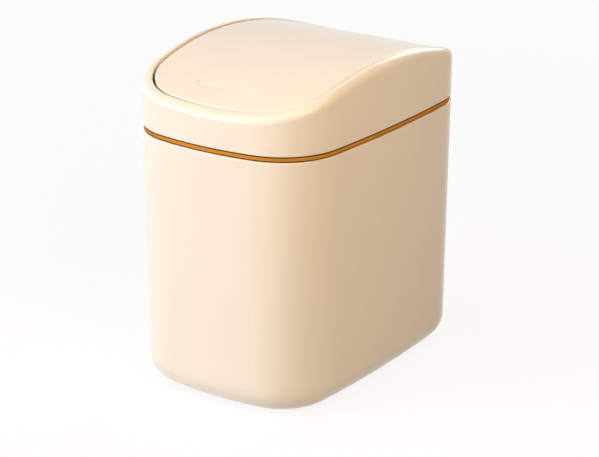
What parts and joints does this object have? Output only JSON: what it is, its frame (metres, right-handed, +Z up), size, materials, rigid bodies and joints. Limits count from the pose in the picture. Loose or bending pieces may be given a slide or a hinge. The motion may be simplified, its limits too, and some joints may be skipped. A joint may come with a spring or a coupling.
{
  "type": "mini waste bin",
  "caption": "Small rounded-rectangle desk bin with an arched cover, a tilting flap that swings on side pivots, and a removable band that clamps the bag.",
  "frame": {"origin": "centre of the base on the floor plane, under the middle of the bin", "axes": "+X across the width, +Y from front to rear, +Z up"},
  "size_m": [0.11, 0.16, 0.165],
  "materials": {
    "cream_plastic": "satin moulded, cream",
    "gold_plastic": "satin gold metallised",
    "pad_rubber": "matt",
    "steel": "plain"
  },
  "bodies": {
    "bucket": {"bucket": "cream_plastic", "foot_pads": "pad_rubber"},
    "ring": {"bag_ring": "gold_plastic"},
    "cover": {"cover_shell": "cream_plastic"},
    "flap": {"flap_panel": "cream_plastic", "pivot_pin_left": "steel", "pivot_pin_right": "steel", "balance_weight": "steel", "weight_screws": "steel"}
  },
  "joints": [
    {"name": "ring_lift", "type": "slide", "parent": "bucket", "child": "ring", "axis": [0, 0, 1], "range_m": [0, 0.05]},
    {"name": "cover_lift", "type": "slide", "parent": "ring", "child": "cover", "axis": [0, 0, 1], "range_m": [0, 0.08]},
    {"name": "flap_swing", "type": "hinge", "parent": "cover", "child": "flap", "pos_m": [0, 0, 0.15755], "axis": [1, 0, 0], "range_deg": [-80, 80]}
  ]
}
